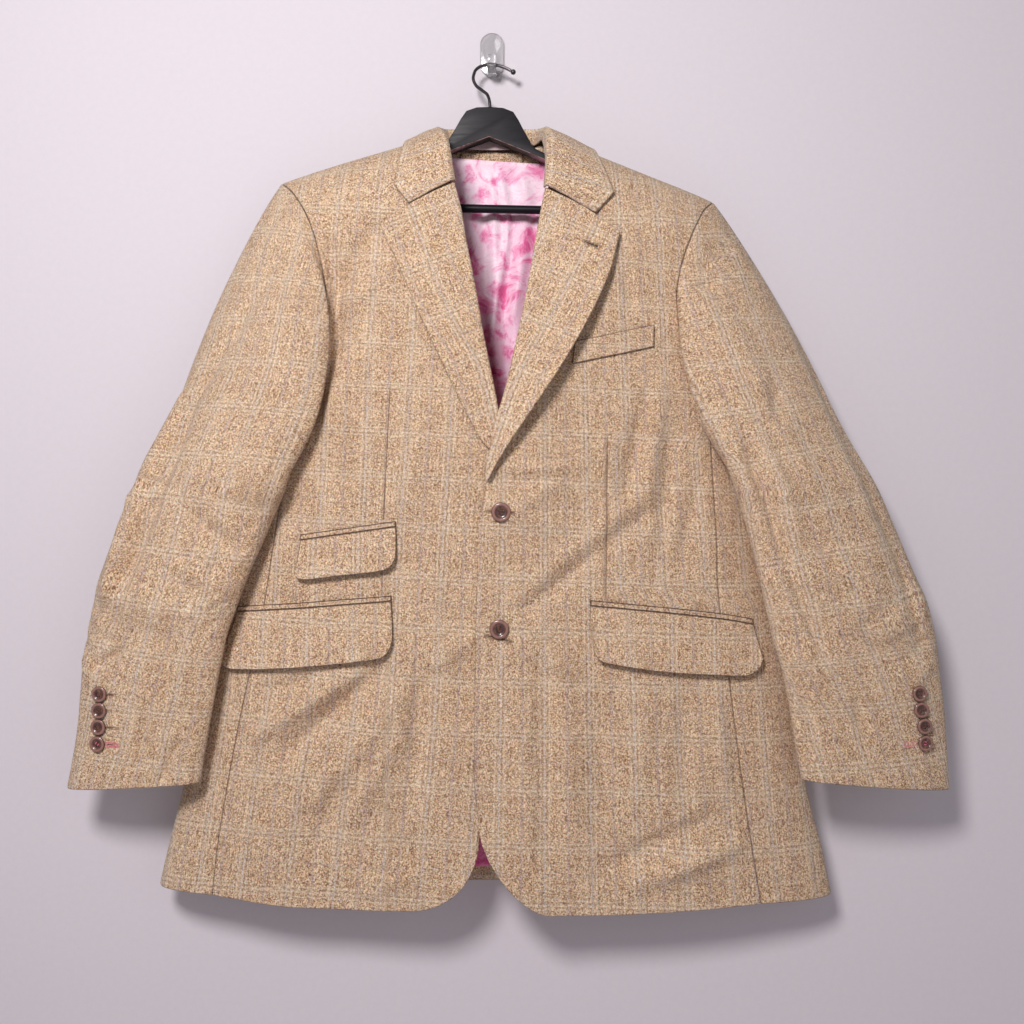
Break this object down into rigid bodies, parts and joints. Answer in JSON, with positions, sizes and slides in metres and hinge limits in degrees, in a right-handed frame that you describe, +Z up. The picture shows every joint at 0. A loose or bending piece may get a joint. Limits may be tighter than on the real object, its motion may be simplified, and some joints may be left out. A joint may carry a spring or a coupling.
{
  "type": "tweed hacking jacket on a hanger and wall hook",
  "caption": "Checked tweed hacking jacket, buttoned, hanging flat on a black wooden hanger from a clear wall hook; slanted flap pockets, notched lapels, pink lining.",
  "frame": {"origin": "middle of the wall hook's flat back, where the wall holds everything up", "axes": "+Z up, the jacket's front faces -Y and the wall is the plane Y = 0; +X is the wearer's left"},
  "size_m": [0.918, 0.1201, 0.9438],
  "materials": {
    "tweed": "woollen check",
    "lining": "satin",
    "band": "plain",
    "horn": "polished horn",
    "wood": "black paint",
    "wire": "darkened",
    "clear": "clear"
  },
  "bodies": {
    "root": {"back_left": "tweed", "back_right": "tweed", "button_cuff_left_1": "horn", "button_cuff_left_2": "horn", "button_cuff_left_3": "horn", "button_cuff_left_4": "horn", "button_cuff_right_1": "horn", "button_cuff_right_2": "horn", "button_cuff_right_3": "horn", "button_cuff_right_4": "horn", "button_front_1": "horn", "button_front_2": "horn", "collar": "tweed", "flap_hip_left": "tweed", "flap_hip_right": "tweed", "flap_ticket": "tweed", "front_left": "tweed", "front_right": "tweed", "hanger_bar": "wood", "hanger_body": "wood", "hanger_hook": "wire", "hem_facing_back": "tweed", "hook_tip": "wire", "jet_hip_left": "tweed", "jet_hip_right": "tweed", "jet_ticket": "tweed", "lapel_left": "tweed", "lapel_right": "tweed", "lining_back": "lining", "neck_band": "band", "neck_facing": "tweed", "side_panel_left": "tweed", "side_panel_right": "tweed", "top_sleeve_left": "tweed", "top_sleeve_right": "tweed", "under_sleeve_left": "tweed", "under_sleeve_right": "tweed", "wall_hook_plate": "clear", "wall_hook_tongue": "clear", "welt_chest": "tweed"}
  },
  "joints": []
}
